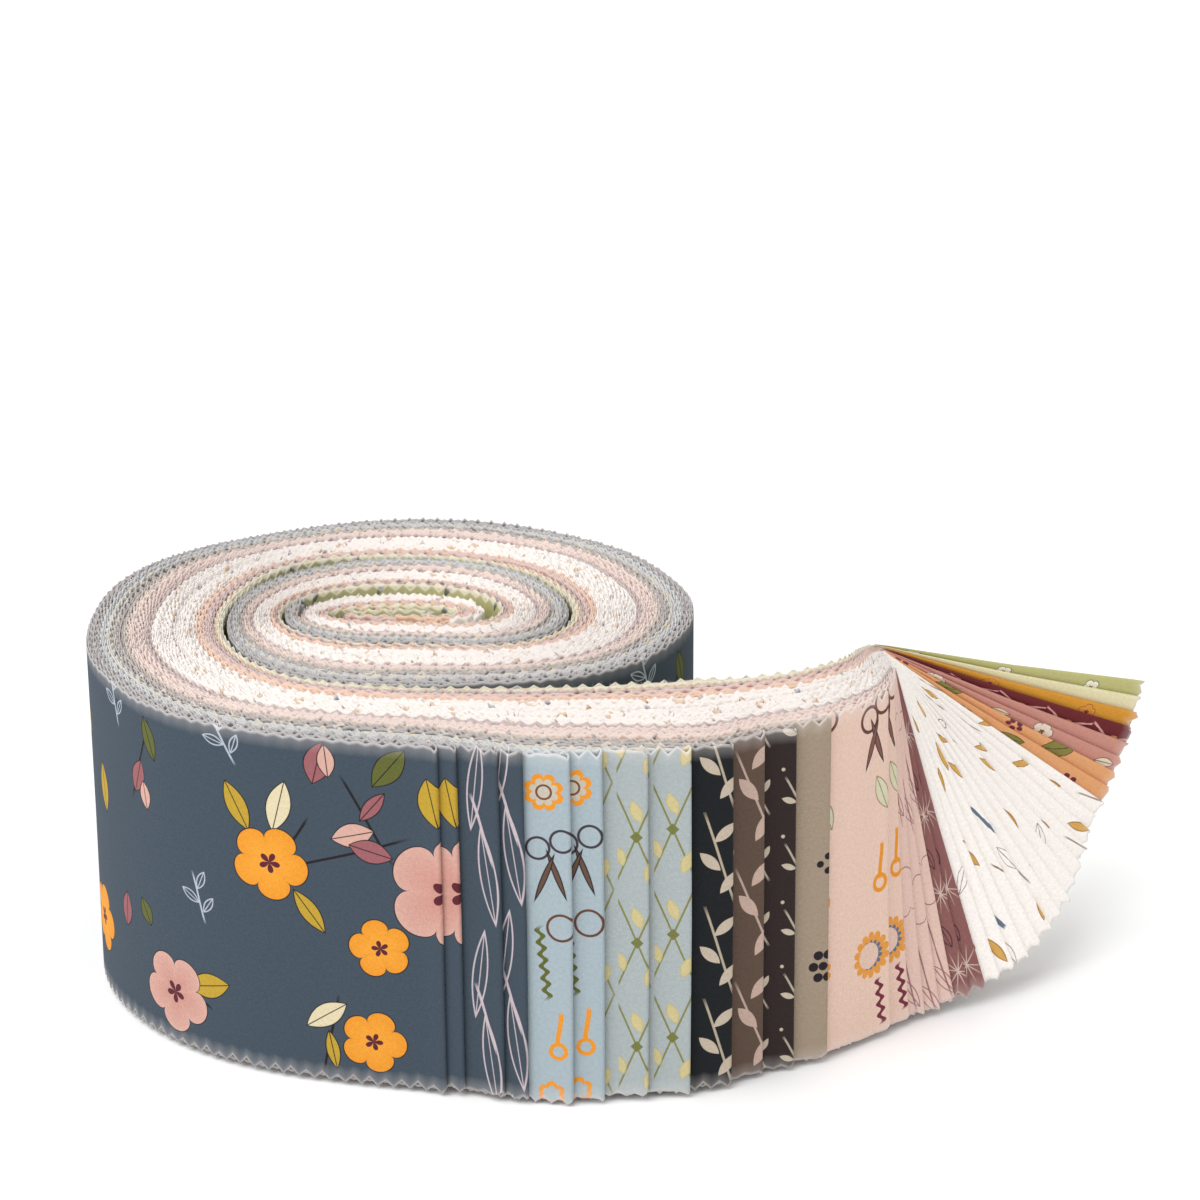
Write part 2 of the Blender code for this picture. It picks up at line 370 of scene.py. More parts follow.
def sway(points):
    # the whole roll's gentle unevenness: long sine waves, the same for every strip, so none cross
    x, y, z = points[:, 0], points[:, 1], points[:, 2]
    up = np.clip(z / roll["width"], 0.0, 1.0)
    moved = points.copy()
    for axis, height, turning, phase, grows in swayWaves:
        wave = height * np.sin(turning[0] * x + turning[1] * y + turning[2] * z + phase)
        moved[:, axis] += wave * up if grows else wave
    rise = swell["height"] * np.sin(swell["alongX"] * x + swell["phase"]) * np.sin(swell["alongY"] * y)
    moved[:, 2] += (rise + swell["lift"]) * up
    return moved


def stripPiece(strip, name, material, shift):
    # the ribbon's rings, a cap on each end and the fringe, all swayed and put in as one mesh
    rng = np.random.default_rng(100 + strip)
    surface = stripSurface(strip, rng)
    ring = surface["ring"]
    columns, corners = ring.shape[:2]
    quads = ringFaces(columns, corners)
    caps = [np.arange(corners), np.arange(corners)[::-1] + (columns - 1) * corners]
    spikes, at, heights = fringeSpikes(surface, rng)
    start = columns * corners
    foot = start + 4 * np.arange(len(spikes))[:, None]
    sides = np.array([(0, 1, 3), (1, 2, 3), (2, 0, 3), (2, 1, 0)])
    triangles = (foot[:, :, None] + sides[None]).reshape(-1, 3)
    points = sway(np.concatenate([ring.reshape(-1, 3), spikes.reshape(-1, 3)]))
    loops = np.concatenate([quads.ravel(), caps[0], caps[1], triangles.ravel()])
    sizes = np.concatenate([np.full(len(quads), 4), [corners, corners], np.full(len(triangles), 3)])
    mesh = bpy.data.meshes.new(name)
    mesh.vertices.add(len(points))
    mesh.vertices.foreach_set("co", points.astype(np.float32).ravel())
    mesh.loops.add(len(loops))
    mesh.loops.foreach_set("vertex_index", loops.astype(np.int32))
    mesh.polygons.add(len(sizes))
    mesh.polygons.foreach_set("loop_start", np.append(0, np.cumsum(sizes)[:-1]).astype(np.int32))
    mesh.update(calc_edges=True)
    along = np.concatenate([np.repeat(np.abs(surface["place"]), corners), np.repeat(np.abs(at), 4)])
    height = np.concatenate([surface["height"].ravel(), np.repeat(heights, 4)])
    layout = mesh.uv_layers.new(name="cloth")
    uv = np.stack([along + shift[0], height + shift[1]], axis=-1)[loops]
    layout.data.foreach_set("uv", uv.astype(np.float32).ravel())
    rim = np.concatenate([surface["rim"].ravel(), np.ones(4 * len(spikes))])
    attribute = mesh.attributes.new("rim", "FLOAT", "POINT")
    attribute.data.foreach_set("value", rim.astype(np.float32))
    mesh.polygons.foreach_set("use_smooth", np.ones(len(sizes), bool))
    mesh.materials.append(material)
    mesh.validate()
    piece = bpy.data.objects.new(name, mesh)
    bpy.context.scene.collection.objects.link(piece)
    return piece


# Prints. Motif places and sizes are in millimetres, along the strip from its fold and up from its lower edge.
# a Math node, with numbers set on its sockets and outputs linked to them
def mathNode(tree, operation, first, second=None, third=None, clamp=False):
    node = tree.nodes.new("ShaderNodeMath")
    node.operation = operation
    node.use_clamp = clamp
    for socket, value in zip(node.inputs, (first, second, third)):
        if value is None:
            continue
        if isinstance(value, (int, float)):
            socket.default_value = value
        else:
            tree.links.new(value, socket)
    return node.outputs[0]


# the first colour where the share is 0, and the second where it is 1
def mixColour(tree, share, first, second):
    node = tree.nodes.new("ShaderNodeMix")
    node.data_type = "RGBA"
    for socket, value in ((node.inputs[0], share), (node.inputs[6], first), (node.inputs[7], second)):
        if isinstance(value, (int, float)):
            socket.default_value = value
        elif isinstance(value, tuple):
            socket.default_value = (*value, 1.0)
        else:
            tree.links.new(value, socket)
    return node.outputs[2]


def motifLevel(tree, point, kind, centre, size, angle, petals):
    # the height of a hill that is above 0 inside the motif, in millimetres
    place = tree.nodes.new("ShaderNodeMapping")
    place.vector_type = "TEXTURE"
    place.inputs["Location"].default_value = (*centre, 0.0)
    place.inputs["Rotation"].default_value = (0.0, 0.0, math.radians(angle))
    place.inputs["Scale"].default_value = (size[0], size[1], 1.0)
    tree.links.new(point, place.inputs["Vector"])
    split = tree.nodes.new("ShaderNodeSeparateXYZ")
    tree.links.new(place.outputs[0], split.inputs[0])
    x, y = split.outputs[0], split.outputs[1]
    low = min(size)
    if kind == "leaf":
        rest = mathNode(tree, "MULTIPLY_ADD", mathNode(tree, "MULTIPLY", x, x), -1.0, 1.0)
        level = mathNode(tree, "SUBTRACT", rest, mathNode(tree, "ABSOLUTE", y))
    elif kind == "bar":
        level = mathNode(tree, "MAXIMUM", mathNode(tree, "ABSOLUTE", x), mathNode(tree, "ABSOLUTE", y))
        level = mathNode(tree, "SUBTRACT", 1.0, level)
    elif kind == "wave":
        bent = mathNode(tree, "SINE", mathNode(tree, "MULTIPLY", x, math.pi * petals))
        bent = mathNode(tree, "MULTIPLY_ADD", bent, -0.5, y)
        level = mathNode(tree, "SUBTRACT", 0.5, mathNode(tree, "ABSOLUTE", bent))
        inside = mathNode(tree, "SUBTRACT", 1.0, mathNode(tree, "ABSOLUTE", x))
        level = mathNode(tree, "MINIMUM", level, inside)
    else:
        far = mathNode(tree, "SQRT", mathNode(tree, "MULTIPLY_ADD", x, x, mathNode(tree, "MULTIPLY", y, y)))
        level = mathNode(tree, "SUBTRACT", 1.0, far)
        if kind == "flower":
            petalTurn = mathNode(tree, "MULTIPLY", mathNode(tree, "ARCTAN2", y, x), petals / 2)
            bump = mathNode(tree, "ABSOLUTE", mathNode(tree, "SINE", petalTurn))
            bump = mathNode(tree, "POWER", bump, 0.45)
            level = mathNode(tree, "SUBTRACT", mathNode(tree, "MULTIPLY_ADD", bump, 0.36, 0.64), far)
    return mathNode(tree, "MULTIPLY", level, low), x, y


# 0 outside and 1 inside, with a soft step where the level is 0
def stepped(tree, level, soft=0.12):
    return mathNode(tree, "MULTIPLY_ADD", level, 1.0 / soft, 0.5, clamp=True)


# the fill where the level is above 0, then the outline, the vein and the eye over it
def paintMotif(tree, point, under, motif):
    kind, centre, size, angle = motif[:4]
    extra = motif[4]
    size = size if isinstance(size, tuple) else (size, size)
    level, x, y = motifLevel(tree, point, kind, centre, size, angle, extra.get("petals", 5))
    colour = under
    if "fill" in extra:
        fill = extra["fill"]
        if "core" in extra:
            share = mathNode(tree, "MULTIPLY", level, 1.0 / min(size), clamp=True)
            fill = mixColour(tree, mathNode(tree, "POWER", share, 0.7), fill, extra["core"])
        colour = mixColour(tree, stepped(tree, level), colour, fill)
    if "line" in extra:
        near = mathNode(tree, "SUBTRACT", extra.get("thick", 0.16), mathNode(tree, "ABSOLUTE", level))
        colour = mixColour(tree, stepped(tree, near), colour, extra["line"])
    if "vein" in extra:
        near = mathNode(tree, "MULTIPLY_ADD", mathNode(tree, "ABSOLUTE", y), -size[1], 0.09)
        near = mathNode(tree, "MINIMUM", near, level)
        colour = mixColour(tree, stepped(tree, near), colour, extra["vein"])
    if "eye" in extra:
        near = mathNode(tree, "SUBTRACT", level, 0.72 * min(size))
        colour = mixColour(tree, stepped(tree, near), colour, extra["eye"])
    return colour


orange = (0.72, 0.27, 0.025)
mustard = (0.46, 0.30, 0.035)
blush = (0.60, 0.36, 0.30)
rose = (0.30, 0.11, 0.12)
olive = (0.11, 0.12, 0.03)
cream = (0.66, 0.58, 0.38)
ink = (0.020, 0.015, 0.018)
brown = (0.16, 0.06, 0.02)
chalk = (0.42, 0.46, 0.52)
wine = (0.10, 0.02, 0.03)


def leaf(u, v, length, width, angle, fill, line=ink, vein=True):
    extra = {"fill": fill, "line": line, "thick": 0.10}
    if vein:
        extra["vein"] = line
    return ("leaf", (u, v), (length, width), angle, extra)


def outlineLeaf(u, v, length, width, angle, line, thick=0.12):
    return ("leaf", (u, v), (length, width), angle, {"line": line, "vein": line, "thick": thick})


def flower(u, v, size, angle, fill, core, line=ink, petals=5, eye=wine):
    colours = {"fill": fill, "core": core, "line": line, "eye": eye}
    return ("flower", (u, v), size, angle, {**colours, "thick": 0.10, "petals": petals})


def stem(u, v, length, angle, line=ink, width=0.45, waves=0.5):
    return ("wave", (u, v), (length, width), angle, {"fill": line, "petals": waves})


def ringMotif(u, v, size, line, thick=0.3, petals=None, fill=None):
    extra = {"line": line, "thick": thick}
    if fill:
        extra["fill"] = fill
    if petals:
        extra["petals"] = petals
    return ("flower" if petals else "disc", (u, v), size, 0.0, extra)


def dots(count, turn, u, v, wide, tall, size, fill):
    # discs round an ellipse, each turned on from the last by the same angle in radians
    spots = [(u + wide * math.cos(k * turn), v + tall * math.sin(k * turn)) for k in range(count)]
    return [("disc", spot, size, 0.0, {"fill": fill}) for spot in spots]


def sprig(u, v, angle, line, size=1.0):
    # a stem with three outlined leaves
    turn = math.radians(angle)
    along, side = (math.cos(turn), math.sin(turn)), (-math.sin(turn), math.cos(turn))

    def at(a, b):
        return u + size * (along[0] * a + side[0] * b), v + size * (along[1] * a + side[1] * b)

    return [
        stem(u, v, 4.2 * size, angle, line, 0.35),
        outlineLeaf(*at(3.0, 1.5), 1.9 * size, 0.75 * size, angle + 40, line),
        outlineLeaf(*at(0.5, -1.7), 2.0 * size, 0.8 * size, angle - 45, line),
        outlineLeaf(*at(-1.5, 1.6), 1.8 * size, 0.7 * size, angle + 50, line),
    ]


prints = {
    "slate_floral": {
        "base": (0.052, 0.072, 0.095),
        "tile": (112.0, 200.0),
        "motifs": [
            stem(18.0, 42.0, 12.0, -20),
            stem(12.5, 49.0, 8.0, 60),
            stem(26.0, 43.0, 6.0, 120),
            stem(57.0, 52.0, 8.0, 110),
            stem(47.0, 12.0, 5.0, 30),
            stem(20.0, 9.0, 7.0, 100),
            *sprig(37.0, 60.5, 60, chalk),
            *sprig(43.8, 30.0, 75, chalk),
            *sprig(66.0, 60.0, 70, chalk),
            *sprig(88.0, 30.0, 60, chalk),
            leaf(35.0, 49.0, 4.6, 1.9, 65, mustard),
            leaf(8.5, 58.5, 4.4, 2.2, 130, olive),
            leaf(1.2, 53.0, 4.4, 2.5, 78, mustard),
            leaf(23.0, 31.5, 4.5, 1.6, 55, mustard),
            leaf(27.5, 50.0, 4.8, 2.1, 105, cream),
            leaf(20.7, 12.5, 4.4, 2.0, 145, cream),
            leaf(19.8, 6.0, 3.6, 1.2, 80, mustard),
            leaf(54.0, 56.5, 4.0, 1.6, 70, olive),
            leaf(57.8, 23.0, 2.6, 1.6, 60, olive),
            leaf(43.0, 13.5, 4.6, 2.3, 165, mustard),
            leaf(73.0, 41.0, 4.6, 1.9, 80, mustard),
            leaf(86.0, 50.0, 4.6, 1.9, 30, mustard),
            leaf(101.0, 20.0, 4.6, 2.1, 150, olive),
            leaf(58.0, 48.5, 3.4, 1.9, 110, rose),
            leaf(56.0, 45.5, 2.6, 1.5, 80, blush),
            leaf(20.5, 58.5, 3.9, 2.3, 105, rose),
            leaf(19.0, 59.0, 2.9, 1.5, 85, blush),
            leaf(11.5, 51.5, 3.4, 1.3, 130, rose),
            leaf(15.0, 46.2, 3.8, 2.1, 165, blush),
            leaf(12.0, 43.5, 3.8, 2.0, 195, rose),
            leaf(64.7, 21.0, 3.4, 1.7, 95, rose),
            flower(51.0, 10.0, 7.6, 20, blush, (0.50, 0.24, 0.20)),
            flower(29.6, 39.5, 6.8, 10, orange, (0.80, 0.34, 0.04)),
            flower(11.0, 26.0, 5.4, 40, orange, (0.80, 0.34, 0.04)),
            flower(12.6, 8.4, 5.8, 75, orange, (0.80, 0.34, 0.04)),
            flower(-1.0, 37.0, 10.4, 0, blush, (0.52, 0.24, 0.20)),
            flower(95.0, 42.0, 9.0, 0, blush, (0.52, 0.24, 0.20)),
            flower(78.0, 14.0, 6.5, 0, orange, (0.80, 0.34, 0.04)),
        ],
    },
    "slate_ribbon": {
        "base": (0.050, 0.069, 0.090),
        "tile": (9.0, 34.0),
        "motifs": [
            outlineLeaf(3.6, 9.0, 8.5, 1.5, 82, (0.50, 0.42, 0.45), 0.14),
            outlineLeaf(5.6, 25.0, 8.0, 1.3, 97, (0.50, 0.42, 0.45), 0.14),
            stem(4.5, 17.0, 6.0, 70, (0.50, 0.42, 0.45), 0.5),
        ],
    },
    "mist_notions": {
        "base": (0.345, 0.415, 0.450),
        "tile": (15.0, 66.0),
        "motifs": [
            ringMotif(5.0, 58.5, 2.9, orange, 0.45, petals=8, fill=(0.50, 0.46, 0.38)),
            ringMotif(5.0, 58.5, 1.2, brown, 0.18),
            ringMotif(2.2, 50.0, 1.9, (0.05, 0.04, 0.05), 0.22),
            ringMotif(6.2, 48.6, 1.9, (0.05, 0.04, 0.05), 0.22),
            leaf(3.2, 44.0, 4.4, 0.45, 70, (0.12, 0.07, 0.05), vein=False),
            leaf(5.2, 43.4, 4.4, 0.45, 112, (0.12, 0.07, 0.05), vein=False),
            ringMotif(2.6, 34.5, 2.3, (0.12, 0.05, 0.03), 0.22),
            stem(5.6, 28.0, 6.5, 84, olive, 0.9, 6.0),
            stem(3.0, 16.0, 3.0, 88, orange, 0.8),
            ringMotif(3.2, 12.0, 1.3, orange, 0.35),
            ringMotif(4.4, 4.0, 2.0, orange, 0.4, petals=6),
        ],
    },
    "mist_lattice": {
        "base": (0.365, 0.405, 0.410),
        "tile": (7.6, 19.0),
        "motifs": [
            ("bar", (3.8, 9.5), (12.0, 0.16), 68.0, {"fill": (0.20, 0.20, 0.06)}),
            ("bar", (3.8, 9.5), (12.0, 0.16), -68.0, {"fill": (0.20, 0.20, 0.06)}),
            leaf(3.8, 14.0, 2.0, 0.9, 70, (0.55, 0.47, 0.24), line=(0.45, 0.40, 0.20), vein=False),
            leaf(1.6, 3.6, 2.0, 0.9, 110, (0.55, 0.47, 0.24), line=(0.45, 0.40, 0.20), vein=False),
            leaf(6.4, 6.0, 1.7, 0.8, 75, (0.55, 0.47, 0.24), line=(0.45, 0.40, 0.20), vein=False),
            ("bar", (3.8, 9.5), (0.75, 0.75), 45.0, {"fill": (0.16, 0.17, 0.05)}),
        ],
    },
    "charcoal_vine": {
        "base": (0.012, 0.014, 0.016),
        "tile": (9.0, 17.0),
        "motifs": [
            stem(3.2, 8.5, 8.0, 72, (0.42, 0.36, 0.27), 0.4),
            leaf(1.6, 4.0, 2.3, 0.85, 130, (0.50, 0.42, 0.33), line=(0.5, 0.42, 0.33), vein=False),
            leaf(4.8, 8.0, 2.3, 0.85, 45, (0.50, 0.42, 0.33), line=(0.5, 0.42, 0.33), vein=False),
            leaf(2.2, 13.0, 2.3, 0.85, 140, (0.50, 0.42, 0.33), line=(0.5, 0.42, 0.33), vein=False),
        ],
    },
    "brown_vine": {
        "base": (0.105, 0.068, 0.050),
        "tile": (8.0, 21.0),
        "motifs": [
            stem(3.0, 10.0, 9.0, 66, (0.46, 0.34, 0.28), 0.4),
            leaf(1.6, 5.0, 2.8, 1.0, 120, (0.50, 0.36, 0.30), line=(0.5, 0.36, 0.3), vein=False),
            leaf(4.4, 12.0, 2.8, 1.0, 50, (0.50, 0.36, 0.30), line=(0.5, 0.36, 0.3), vein=False),
            leaf(2.0, 17.5, 2.6, 1.0, 130, (0.50, 0.36, 0.30), line=(0.5, 0.36, 0.3), vein=False),
        ],
    },
    "umber_sprig": {
        "base": (0.030, 0.021, 0.019),
        "tile": (6.0, 12.0),
        "motifs": [
            stem(2.6, 5.0, 3.2, 60, (0.42, 0.36, 0.29), 0.35),
            leaf(1.6, 7.0, 1.2, 0.45, 120, (0.5, 0.43, 0.34), line=(0.5, 0.43, 0.34), vein=False),
            leaf(3.6, 4.0, 1.2, 0.45, 20, (0.5, 0.43, 0.34), line=(0.5, 0.43, 0.34), vein=False),
            ("disc", (4.6, 9.6), 0.32, 0.0, {"fill": (0.5, 0.43, 0.34)}),
        ],
    },
    "taupe_berry": {
        "base": (0.330, 0.258, 0.190),
        "tile": (20.0, 200.0),
        "motifs": [
            *dots(3, 2.1, 2.4, 40.0, 0.9, 1.5, 0.62, ink),
            *dots(6, 1.05, 2.6, 21.0, 1.7, 2.4, 0.85, ink),
            ("disc", (2.6, 21.0), 0.8, 0.0, {"fill": ink}),
        ],
    },
    "rose_notions": {
        "base": (0.735, 0.530, 0.435),
        "tile": (14.0, 200.0),
        "motifs": [
            ringMotif(2.6, 60.0, 2.2, (0.13, 0.05, 0.04), 0.3),
            ringMotif(6.4, 57.6, 2.2, (0.13, 0.05, 0.04), 0.3),
            leaf(4.2, 53.2, 4.6, 0.6, 66, (0.20, 0.09, 0.07), vein=False),
            leaf(5.6, 52.8, 4.4, 0.6, 112, (0.20, 0.09, 0.07), vein=False),
            leaf(2.6, 43.5, 3.6, 1.5, 65, (0.62, 0.60, 0.42), line=(0.25, 0.18, 0.10)),
            stem(2.8, 31.0, 3.2, 86, orange, 0.9),
            ringMotif(3.0, 27.0, 1.4, orange, 0.4),
            ringMotif(5.2, 14.0, 3.6, (0.70, 0.30, 0.06), 0.8, petals=14, fill=(0.12, 0.16, 0.23)),
            ("disc", (5.8, 14.0), 2.4, 0.0, {"fill": (0.70, 0.50, 0.41)}),
            stem(3.0, 4.6, 4.4, 85, (0.16, 0.03, 0.05), 1.0, 4.0),
        ],
    },
    "rose_linework": {
        "base": (0.705, 0.500, 0.430),
        "tile": (18.0, 36.0),
        "motifs": [
            ("flower", (2.5, 24.0), 4.6, 10, {"line": (0.22, 0.10, 0.12), "thick": 0.09, "petals": 6}),
            stem(3.5, 11.0, 10.0, 80, (0.30, 0.15, 0.16), 0.32),
            outlineLeaf(3.0, 5.0, 3.6, 1.1, 60, (0.26, 0.12, 0.14), 0.09),
            outlineLeaf(6.0, 13.0, 3.4, 1.0, 110, (0.26, 0.12, 0.14), 0.09),
        ],
    },
    "mauve_hatch": {
        "base": (0.245, 0.105, 0.098),
        "tile": (7.0, 15.0),
        "motifs": [
            *[
                ("bar", (2.6, 4.0), (2.4, 0.09), 20.0 + 28.0 * k, {"fill": (0.62, 0.48, 0.42)})
                for k in range(5)
            ],
            outlineLeaf(3.5, 11.0, 2.4, 0.9, 70, (0.08, 0.03, 0.04), 0.12),
        ],
    },
    "cream_scatter": {
        "base": (0.910, 0.860, 0.815),
        "tile": (26.0, 47.0),
        "motifs": [
            leaf(3.0, 6.0, 3.0, 0.8, 60, (0.62, 0.36, 0.09), line=(0.30, 0.14, 0.05), vein=False),
            leaf(2.2, 21.0, 3.0, 0.8, 110, (0.62, 0.36, 0.09), line=(0.30, 0.14, 0.05), vein=False),
            leaf(9.0, 13.0, 3.0, 0.8, 40, (0.62, 0.36, 0.09), line=(0.30, 0.14, 0.05), vein=False),
            leaf(13.0, 40.0, 3.0, 0.8, 70, (0.62, 0.36, 0.09), line=(0.30, 0.14, 0.05), vein=False),
            leaf(21.0, 30.0, 3.0, 0.8, 95, (0.62, 0.36, 0.09), line=(0.30, 0.14, 0.05), vein=False),
            outlineLeaf(3.4, 33.0, 3.2, 1.1, 75, (0.26, 0.20, 0.17), 0.08),
            outlineLeaf(16.0, 21.0, 3.2, 1.1, 125, (0.26, 0.20, 0.17), 0.08),
            stem(3.6, 41.5, 4.4, 60, (0.13, 0.17, 0.23), 0.9),
            stem(10.0, 29.0, 3.8, 75, (0.34, 0.27, 0.22), 0.35),
            ringMotif(19.0, 8.0, 1.1, (0.25, 0.16, 0.10), 0.12),
            stem(21.0, 5.0, 2.4, 50, (0.25, 0.16, 0.10), 0.35),
        ],
    },
    "apricot_leaf": {
        "base": (0.690, 0.335, 0.150),
        "tile": (17.0, 30.0),
        "motifs": [
            leaf(3.0, 8.0, 4.4, 2.0, 60, (0.22, 0.20, 0.05), line=(0.06, 0.04, 0.02)),
            *dots(5, 1.26, 3.0, 20.0, 1.1, 1.6, 0.7, (0.16, 0.03, 0.05)),
        ],
    },
    "dusty_rose_blossom": {
        "base": (0.530, 0.250, 0.200),
        "tile": (16.0, 28.0),
        "motifs": [
            flower(3.2, 8.0, 2.6, 10, (0.72, 0.64, 0.56), (0.70, 0.56, 0.40), line=(0.20, 0.07, 0.08)),
            leaf(3.4, 19.0, 2.4, 1.0, 80, (0.70, 0.62, 0.46), line=(0.20, 0.07, 0.08)),
        ],
    },
    "burgundy_trellis": {
        "base": (0.135, 0.019, 0.023),
        "tile": (6.0, 12.0),
        "motifs": [
            stem(1.7, 3.0, 3.2, 67, (0.62, 0.33, 0.31)),
            stem(1.7, 9.0, 3.2, 113, (0.62, 0.33, 0.31)),
            leaf(2.4, 6.0, 1.2, 0.55, 60, (0.60, 0.28, 0.08), line=(0.6, 0.28, 0.08), vein=False),
        ],
    },
    "mustard_plain": {
        "base": (0.600, 0.270, 0.032),
        "tile": (14.0, 24.0),
        "motifs": [
            flower(3.0, 9.0, 2.0, 0, (0.66, 0.30, 0.05), (0.60, 0.20, 0.03), line=(0.30, 0.10, 0.02)),
        ],
    },
    # a paler copy of the sage print, a painted highlight: its pale base stands for the bright band where the
    # sage strip curves towards the light
    "pale_sage_blossom": {
        "base": (0.700, 0.640, 0.400),
        "tile": (16.0, 22.0),
        "motifs": [
            leaf(3.0, 6.0, 1.8, 0.8, 20, (0.80, 0.77, 0.68), line=(0.10, 0.11, 0.08), vein=False),
            leaf(3.0, 15.0, 2.0, 0.6, 60, (0.10, 0.12, 0.07), line=(0.10, 0.12, 0.07), vein=False),
        ],
    },
    "sage_blossom": {
        "base": (0.470, 0.450, 0.190),
        "tile": (13.0, 21.0),
        "motifs": [
            leaf(1.5, 5.6, 2.2, 0.5, 65, (0.06, 0.08, 0.04), line=(0.06, 0.08, 0.04), vein=False),
            flower(2.3, 9.0, 1.9, 10, (0.82, 0.80, 0.72), (0.80, 0.74, 0.50), line=(0.14, 0.14, 0.08)),
            leaf(1.7, 12.4, 2.2, 0.5, 115, (0.06, 0.08, 0.04), line=(0.06, 0.08, 0.04), vein=False),
            flower(9.6, 18.0, 2.0, 40, (0.82, 0.80, 0.72), (0.80, 0.74, 0.50), line=(0.14, 0.14, 0.08)),
        ],
    },
}

weave = {
    "threads": 2300.0,
    "bump": 0.25,
    "bumpDepth": 0.0001,
    "fray": (0.84, 0.78, 0.75),
    "fraySome": 0.58,
    "tileLead": 0.1,
    "mottle": 1.6,
    "roughness": 0.92,
    "specular": 0.12,
    "sheen": 0.04,
}


def clothMaterial(name, design):
    # the print on its base, toned by the threads and a mottle, and paler where the edge is frayed
    material = bpy.data.materials.new(name + "_cloth")
    material.use_nodes = True
    tree = material.node_tree
    shader = tree.nodes["Principled BSDF"]
    layout = tree.nodes.new("ShaderNodeUVMap")
    layout.uv_map = "cloth"
    scaled = tree.nodes.new("ShaderNodeVectorMath")
    scaled.operation = "SCALE"
    scaled.inputs["Scale"].default_value = 1000.0
    tree.links.new(layout.outputs[0], scaled.inputs[0])
    split = tree.nodes.new("ShaderNodeSeparateXYZ")
    tree.links.new(scaled.outputs[0], split.inputs[0])
    wide, tall = design["tile"]
    # each tile starts a tenth of its width early, so that a motif near its start isn't cut
    lead = weave["tileLead"] * wide
    u = mathNode(tree, "ADD", split.outputs[0], lead)
    u = mathNode(tree, "SUBTRACT", mathNode(tree, "FLOORED_MODULO", u, wide), lead)
    v = mathNode(tree, "FLOORED_MODULO", split.outputs[1], tall)
    joined = tree.nodes.new("ShaderNodeCombineXYZ")
    tree.links.new(u, joined.inputs[0])
    tree.links.new(v, joined.inputs[1])
    colour = design["base"]
    for motif in design["motifs"]:
        colour = paintMotif(tree, joined.outputs[0], colour, motif)
    # threads: two crossed sine waves, which darken and raise the cloth a little
    perMillimetre = weave["threads"] * 0.001 * 2 * math.pi
    threads = [mathNode(tree, "MULTIPLY", split.outputs[k], perMillimetre) for k in range(2)]
    ply = [mathNode(tree, "SINE", thread) for thread in threads]
    basket = mathNode(tree, "MULTIPLY", ply[0], ply[1])
    noise = tree.nodes.new("ShaderNodeTexNoise")
    noise.inputs["Scale"].default_value = weave["mottle"]
    noise.inputs["Detail"].default_value = 3.0
    tree.links.new(scaled.outputs[0], noise.inputs["Vector"])
    mottle = mathNode(tree, "MULTIPLY_ADD", noise.outputs[0], 0.30, 0.85)
    tone = mathNode(tree, "MULTIPLY_ADD", basket, 0.06, mottle)
    toned = tree.nodes.new("ShaderNodeVectorMath")
    toned.operation = "SCALE"
    if isinstance(colour, tuple):
        toned.inputs[0].default_value = colour
    else:
        tree.links.new(colour, toned.inputs[0])
    tree.links.new(tone, toned.inputs["Scale"])
    rim = tree.nodes.new("ShaderNodeAttribute")
    rim.attribute_name = "rim"
    share = mathNode(tree, "MULTIPLY", rim.outputs["Fac"], weave["fraySome"], clamp=True)
    frayed = mixColour(tree, share, toned.outputs[0], weave["fray"])
    tree.links.new(frayed, shader.inputs["Base Color"])
    shader.inputs["Roughness"].default_value = weave["roughness"]
    shader.inputs["Specular IOR Level"].default_value = weave["specular"]
    shader.inputs["Sheen Weight"].default_value = weave["sheen"]
    bump = tree.nodes.new("ShaderNodeBump")
    bump.inputs["Strength"].default_value = weave["bump"]
    bump.inputs["Distance"].default_value = weave["bumpDepth"]
    tree.links.new(basket, bump.inputs["Height"])
    tree.links.new(bump.outputs[0], shader.inputs["Normal"])
    return material


# How far each print is shifted on its strip, in metres: not at all on the first strips, a little on the next,
# and far on the last ones.
shifts = {
    "plain": 2,
    "near": 19,
    "nearLow": (0.0, -0.003),
    "nearHigh": (0.0022, 0.003),
    "far": 0.04,
    "seed": 7,
}

print("strips")
nodes = sorted(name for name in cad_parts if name.startswith("strip_"))
clothMaterials = {name: clothMaterial(name, design) for name, design in prints.items()}
shiftRng = np.random.default_rng(shifts["seed"])
for strip, node in enumerate(nodes):
    printName = node.split("_", 2)[2]
    shift = (0.0, 0.0)
    if strip >= shifts["plain"]:
        shift = tuple(shiftRng.uniform(shifts["nearLow"], shifts["nearHigh"]))
    if strip >= shifts["near"]:
        shift = tuple(shiftRng.uniform(0.0, shifts["far"], 2))
    piece = stripPiece(strip, f"cloth_{strip + 1:02d}", clothMaterials[printName], shift)
    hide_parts(node)
    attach(piece, "root")

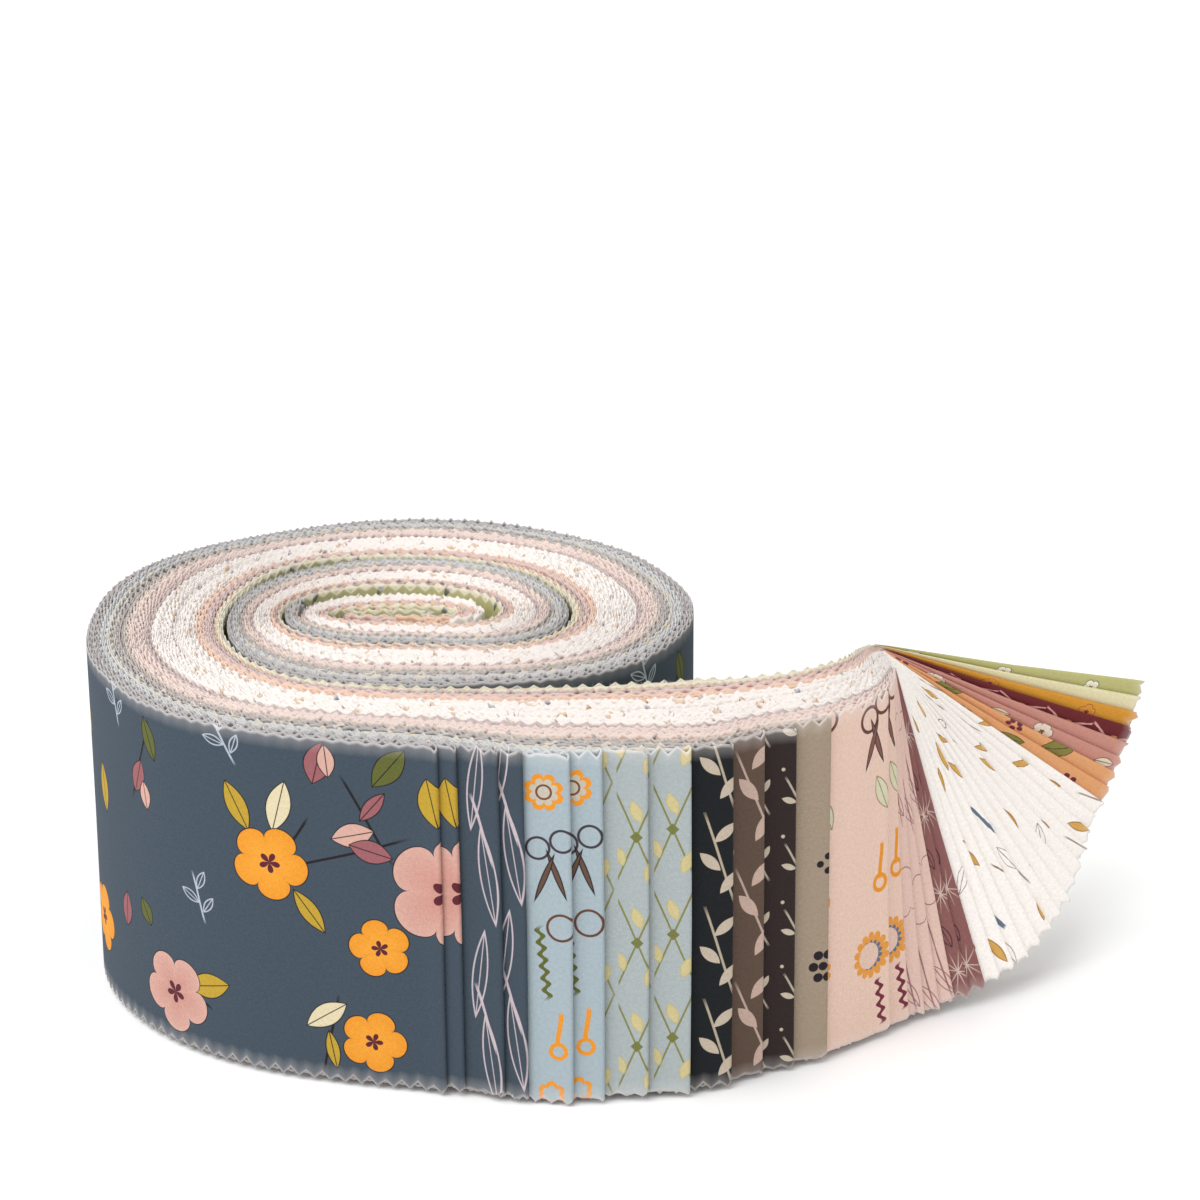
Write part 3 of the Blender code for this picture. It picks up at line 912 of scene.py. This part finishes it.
studio = {
    "floorSize": 6.0,
    "floorHeight": -0.0001,
    "floorColour": (0.93, 0.93, 0.93, 1.0),
    "skyColour": (1.0, 1.0, 1.0, 1.0),
    "sky": 0.63,
    "lens": 88.26,
    "sensor": 36.0,
    "cameraPlace": (-0.0053, -0.4926, 0.2497),
    "cameraTilt": 20.17,
}

print("stage")
bpy.ops.mesh.primitive_plane_add(size=studio["floorSize"])
floor = bpy.context.object
floor.name = "floor"
floor.location.z = studio["floorHeight"]
floorMaterial = bpy.data.materials.new("floorPaint")
floorMaterial.use_nodes = True
floorShader = floorMaterial.node_tree.nodes["Principled BSDF"]
floorShader.inputs["Base Color"].default_value = studio["floorColour"]
floorShader.inputs["Roughness"].default_value = 1.0
floor.data.materials.append(floorMaterial)

# each lamp's name, kind, place, power, and size in metres or angle
lamps = (
    ("sunLight", "SUN", (-0.50, -0.42, 1.10), 1.88, 0.9),
    ("keyLight", "AREA", (-0.65, -0.55, 0.55), 1.9, 0.6),
    ("fillLight", "AREA", (0.75, -0.45, 0.50), 0.98, 0.6),
)
for name, kind, place, power, size in lamps:
    data = bpy.data.lights.new(name, kind)
    data.energy = power
    if kind == "SUN":
        data.angle = size
    else:
        data.size = size
    lamp = bpy.data.objects.new(name, data)
    lamp.location = place
    lamp.rotation_mode = "QUATERNION"
    lamp.rotation_quaternion = (-Vector(place)).to_track_quat("-Z", "Y")
    bpy.context.scene.collection.objects.link(lamp)

world = bpy.data.worlds.new("studio")
world.use_nodes = True
world.node_tree.nodes["Background"].inputs[0].default_value = studio["skyColour"]
world.node_tree.nodes["Background"].inputs[1].default_value = studio["sky"]
bpy.context.scene.world = world
bpy.context.scene.view_settings.view_transform = "Standard"

cameraData = bpy.data.cameras.new("camera")
cameraData.lens = studio["lens"]
cameraData.sensor_width = studio["sensor"]
camera = bpy.data.objects.new("camera", cameraData)
camera.location = studio["cameraPlace"]
camera.rotation_euler = (math.radians(90.0 - studio["cameraTilt"]), 0.0, 0.0)
bpy.context.scene.collection.objects.link(camera)
bpy.context.scene.camera = camera

print("done")
